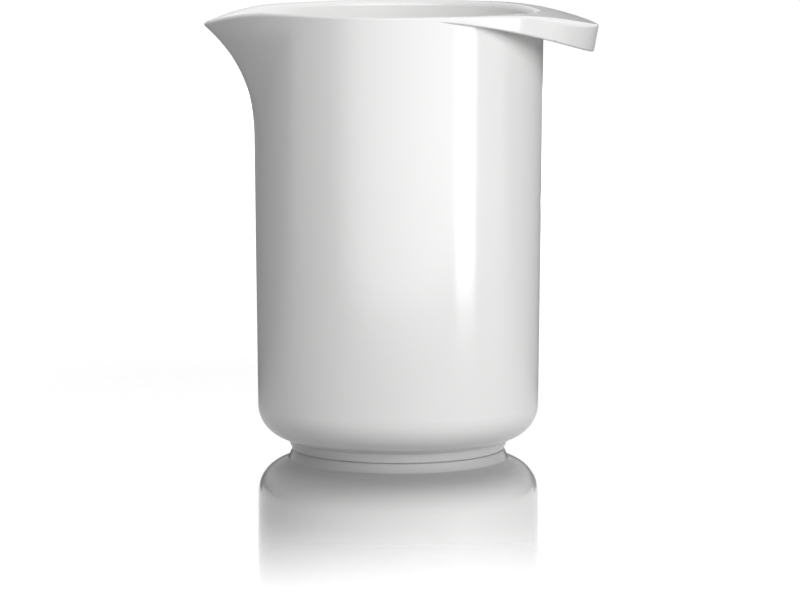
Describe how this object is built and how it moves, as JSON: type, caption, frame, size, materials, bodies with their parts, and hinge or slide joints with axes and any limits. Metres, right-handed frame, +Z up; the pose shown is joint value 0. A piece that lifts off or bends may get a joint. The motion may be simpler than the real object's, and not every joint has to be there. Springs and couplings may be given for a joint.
{
  "type": "mixing jug",
  "caption": "Tall round mixing jug with a rounded base on a foot ring, a flared pouring spout and a drooping lip handle opposite.",
  "frame": {"origin": "middle of the foot ring, on the plane it rests on", "axes": "+Z up along the jug's axis, +X towards the lip handle, -X towards the pouring spout"},
  "size_m": [0.1477, 0.109, 0.166],
  "materials": {
    "body": "smooth, glossy white moulded plastic"
  },
  "bodies": {
    "root": {"jug": "body"}
  },
  "joints": []
}
